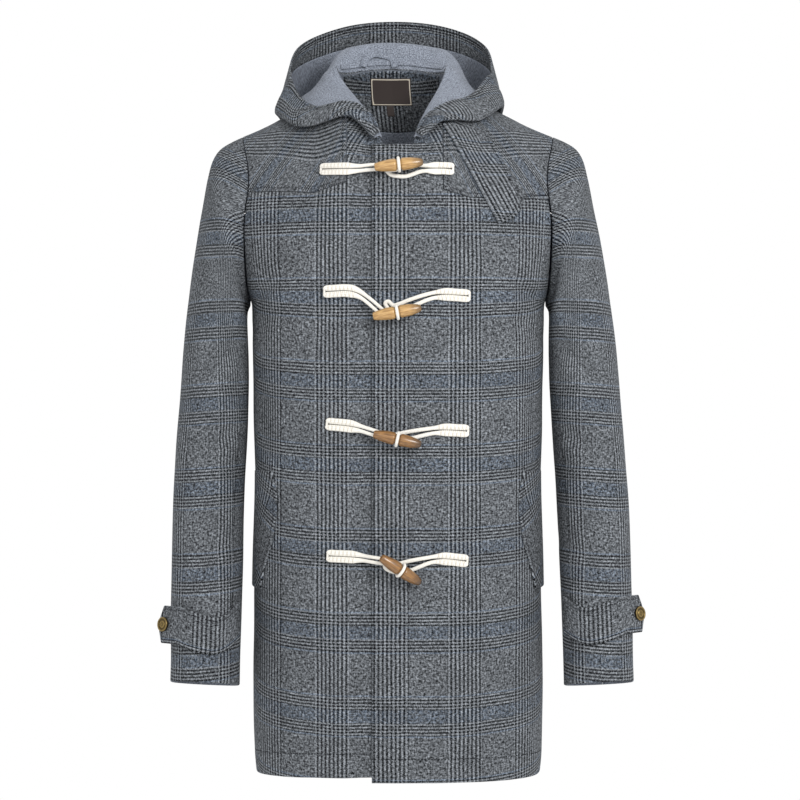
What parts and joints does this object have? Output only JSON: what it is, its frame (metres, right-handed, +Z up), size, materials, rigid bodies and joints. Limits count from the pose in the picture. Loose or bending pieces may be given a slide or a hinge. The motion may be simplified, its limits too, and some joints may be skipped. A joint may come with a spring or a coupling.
{
  "type": "long coat",
  "caption": "Thigh-length hooded coat in checked wool, filled out as worn, with toggle and cord fastenings, a shoulder yoke, a throat strap, slanted pockets and cuff tabs.",
  "frame": {"origin": "the middle of the shoulder line, at the base of the wearer's neck", "axes": "+Z up, -Y out of the coat's front, +X to the wearer's left"},
  "size_m": [0.6293, 0.3747, 1.0268],
  "materials": {
    "checked_wool": "brushed woollen twill with a woven check",
    "brushed_lining": "soft brushed marl",
    "brown_label": "smooth woven patch",
    "cotton_cord": "braided cotton",
    "light_toggle_wood": "polished",
    "dark_toggle_wood": "polished",
    "aged_brass": "dull, cast relief"
  },
  "bodies": {
    "root": {"front_left": "checked_wool", "front_right": "checked_wool", "back": "checked_wool", "yoke": "checked_wool", "sleeve_left_top": "checked_wool", "sleeve_left_under": "checked_wool", "sleeve_right_top": "checked_wool", "sleeve_right_under": "checked_wool", "hood_centre": "checked_wool", "hood_left": "checked_wool", "hood_right": "checked_wool", "hood_facing": "checked_wool", "back_facing": "checked_wool", "throat_strap": "checked_wool", "pocket_welt_left": "checked_wool", "pocket_welt_right": "checked_wool", "cuff_tab_left": "checked_wool", "cuff_tab_right": "checked_wool", "hood_lining": "brushed_lining", "collar_band": "brushed_lining", "hang_loop": "brushed_lining", "back_lining": "brushed_lining", "label": "brown_label", "size_tab": "brown_label", "cuff_button_left": "aged_brass", "cuff_button_right": "aged_brass", "toggle_1": "light_toggle_wood", "toggle_cord_1": "cotton_cord", "loop_cord_1": "cotton_cord", "toggle_2": "light_toggle_wood", "toggle_cord_2": "cotton_cord", "loop_cord_2": "cotton_cord", "toggle_3": "dark_toggle_wood", "toggle_cord_3": "cotton_cord", "loop_cord_3": "cotton_cord", "toggle_4": "dark_toggle_wood", "toggle_cord_4": "cotton_cord", "loop_cord_4": "cotton_cord"}
  },
  "joints": []
}
